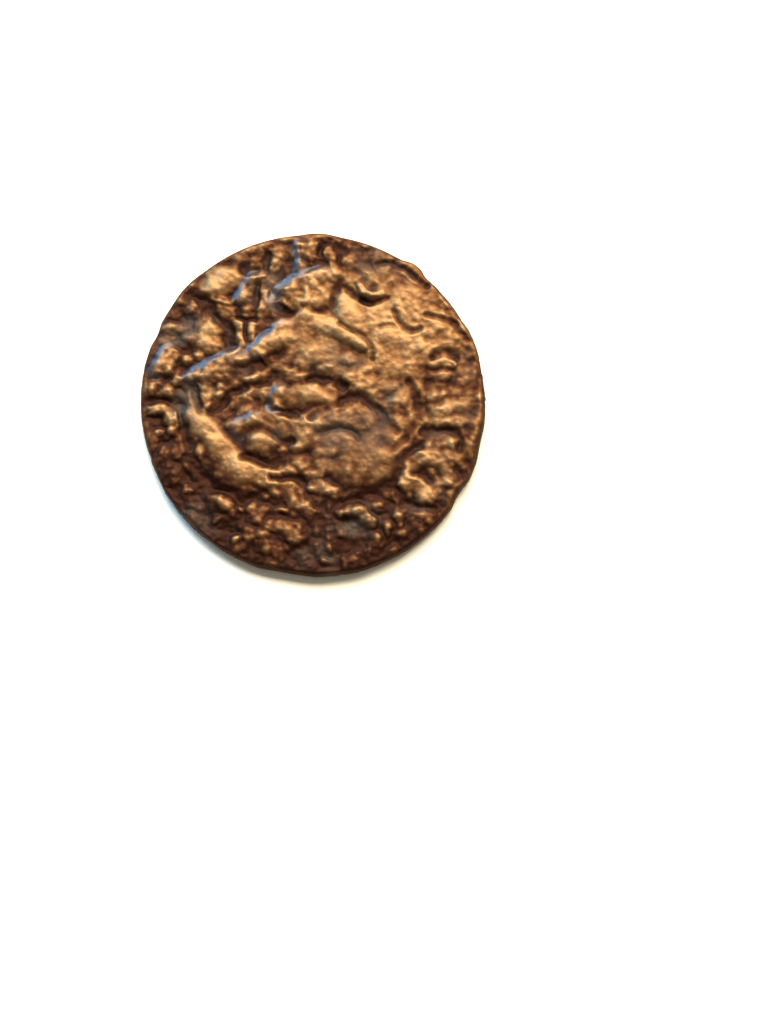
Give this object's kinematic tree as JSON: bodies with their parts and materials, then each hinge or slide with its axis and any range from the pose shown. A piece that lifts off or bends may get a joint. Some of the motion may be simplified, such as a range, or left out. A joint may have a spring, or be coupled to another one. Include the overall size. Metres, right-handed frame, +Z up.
{
  "type": "duit coin",
  "caption": "Worn copper coin with a seated maiden in a round fence, a ring of worn strokes and a wreath on its flat reverse.",
  "frame": {"origin": "middle of the underside, on the surface that the coin lies on", "axes": "+Z up through the coin, out of the obverse; +Y towards the top of the obverse's figure; +X to the right of it"},
  "size_m": [0.022, 0.0229, 0.0013],
  "materials": {
    "patinated_copper": "old struck copper, brown and half dull, worn to a golden brown on its high places"
  },
  "bodies": {
    "root": {"coin": "patinated_copper"}
  },
  "joints": []
}
